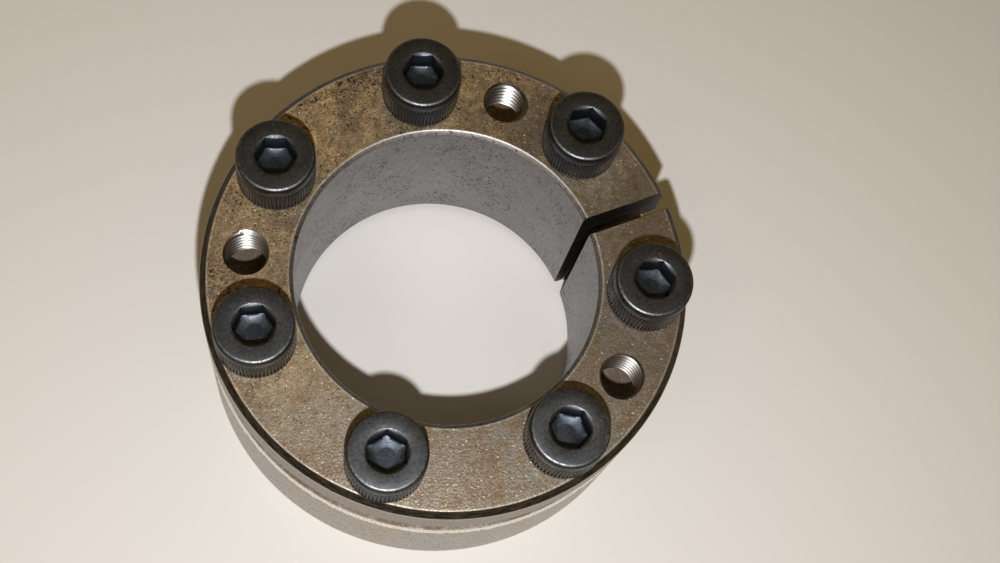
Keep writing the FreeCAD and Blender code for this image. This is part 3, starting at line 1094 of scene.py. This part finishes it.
class BUSH_OT_screws(bpy.types.Operator):
    """Build the seven socket head screws"""
    bl_idname = "bush.screws"
    bl_label = "Screws"

    def execute(self, context):
        screw = context.scene.screw_sizes
        finishes = [make_black_oxide("Black oxide", 0.8, 0.42, 0.02),
                    make_black_oxide("Black oxide knurl", 0.9, 0.42, 0.03),
                    make_black_oxide("Black oxide socket", 0.85, 0.42, 0.02),
                    make_black_oxide("Black oxide thread", 1.2, 0.38, 0.02)]
        pattern = new_piece(make_screw_mesh(context), "screw_pattern", finishes)
        shank = threaded_rod(screw.root, screw.crest, SCREW_TIP, FLANGE_FACE + 1)
        shank_piece = new_piece(paint_zone(shank, 3), "shank", finishes)
        tip = [(0, SCREW_TIP), (screw.root - 0.15, SCREW_TIP),
               (PAST_CREST, SCREW_TIP + TIP_CHAMFER),
               (PAST_CREST, FLANGE_FACE + 0.6), (0, FLANGE_FACE + 0.6)]
        combine(shank_piece, paint_zone(turned(tip, HOLE_STEPS), 3), "INTERSECT")
        bm = bmesh.new()
        bm.from_mesh(shank_piece.data)
        bpy.data.objects.remove(shank_piece)
        combine(pattern, bm, "UNION")
        mesh = pattern.data
        # Rubbed bare metal, on the head's rim partly a painted highlight.
        rubbed = mesh.attributes.new("rubbed", "FLOAT", "POINT")
        values = [rubbed_and_highlight_share(math.hypot(vert.co.x, vert.co.y), vert.co.z - FLANGE_FACE)
                  for vert in mesh.vertices]
        rubbed.data.foreach_set("value", values)
        for number, turn in enumerate(SOCKET_TURNS, start=1):
            bm = bmesh.new()
            bm.from_mesh(mesh)
            moved(bm, place_on_circle(screw_angle(number)), math.radians(turn))
            piece = new_piece(bm, "socket_screw_%d" % number, finishes)
            finish_piece(piece)
            fits(piece, "screw_%d" % number)
        bpy.data.objects.remove(pattern)
        return {"FINISHED"}


# ---- stage

def aim(thing, target, roll=0.0):
    """Point a light or the camera at a place."""
    look = (Vector(target) - thing.location).to_track_quat("-Z", "Y")
    thing.rotation_mode = "QUATERNION"
    thing.rotation_quaternion = look @ Matrix.Rotation(roll, 3, "Z").to_quaternion()


def add_light(name, place, target, size, watts, tint):
    """A round soft light that looks at a target."""
    lamp = bpy.data.lights.new(name, "AREA")
    lamp.shape = "DISK"
    lamp.size = size
    lamp.energy = watts
    lamp.color = tint
    holder = bpy.data.objects.new(name, lamp)
    bpy.context.scene.collection.objects.link(holder)
    holder.location = place
    aim(holder, target)


class BUSH_OT_stage(bpy.types.Operator):
    """Lay the table top, light it and set up the camera"""
    bl_idname = "bush.stage"
    bl_label = "Stage"

    def execute(self, context):
        scene = context.scene
        bm = bmesh.new()
        bmesh.ops.create_grid(bm, x_segments=1, y_segments=1, size=2.0)
        floor = new_piece(bm, "table_top", [make_floor_paint()])

        add_light("key", (-0.054, -0.095, 0.240), target=(0, 0, 0.03), size=0.006, watts=0.66,
                  tint=(1, 0.99, 0.98))
        add_light("room", (-0.75, -0.25, 1.35), target=(0, 0, 0.02), size=0.30, watts=0.9,
                  tint=(1, 0.86, 0.66))

        world = bpy.data.worlds.new("Studio")
        scene.world = world
        world.use_nodes = True
        ground = world.node_tree.nodes["Background"]
        ground.inputs["Color"].default_value = (1.0, 0.68, 0.27, 1)
        ground.inputs["Strength"].default_value = 0.2
        scene.view_settings.view_transform = "Standard"

        data = bpy.data.cameras.new("camera")
        data.lens = 53.70
        data.sensor_width = 36
        data.clip_start = 0.01
        data.clip_end = 20
        camera = bpy.data.objects.new("camera", data)
        scene.collection.objects.link(camera)
        around, above, roll = (math.radians(angle) for angle in (-41.24, 70.16, 20.55))
        away = 0.24403
        target = Vector((0.0076, -0.00405, 0.034))
        back = Vector((math.sin(around) * math.cos(above), -math.cos(around) * math.cos(above),
                       math.sin(above)))
        camera.location = target + away * back
        aim(camera, target, roll)
        scene.camera = camera
        return {"FINISHED"}


class BUSH_PT_panel(bpy.types.Panel):
    """Sizes, colours and the building steps"""
    bl_idname = "BUSH_PT_panel"
    bl_label = "Locking Bush"
    bl_space_type = "VIEW_3D"
    bl_region_type = "UI"
    bl_category = "Bush"

    def draw(self, context):
        for group in (context.scene.bush_sizes, context.scene.screw_sizes,
                      context.scene.bush_colours):
            box = self.layout.box()
            for name in group.__annotations__:
                box.prop(group, name)
        for step in STEPS:
            self.layout.operator(step.bl_idname)


STEPS = (BUSH_OT_inner_ring, BUSH_OT_outer_ring, BUSH_OT_screws, BUSH_OT_stage)
GROUPS = (("bush_sizes", BushSizes), ("screw_sizes", ScrewSizes), ("bush_colours", BushColours))


def register():
    for name, group in GROUPS:
        bpy.utils.register_class(group)
        setattr(bpy.types.Scene, name, bpy.props.PointerProperty(type=group))
    for item in STEPS + (BUSH_PT_panel,):
        bpy.utils.register_class(item)


def unregister():
    for item in reversed(STEPS + (BUSH_PT_panel,)):
        bpy.utils.unregister_class(item)
    for name, group in reversed(GROUPS):
        delattr(bpy.types.Scene, name)
        bpy.utils.unregister_class(group)


def main():
    register()
    make_effects()
    bpy.ops.bush.inner_ring()
    bpy.ops.bush.outer_ring()
    bpy.ops.bush.screws()
    bpy.ops.bush.stage()


if __name__ == "__main__":
    main()
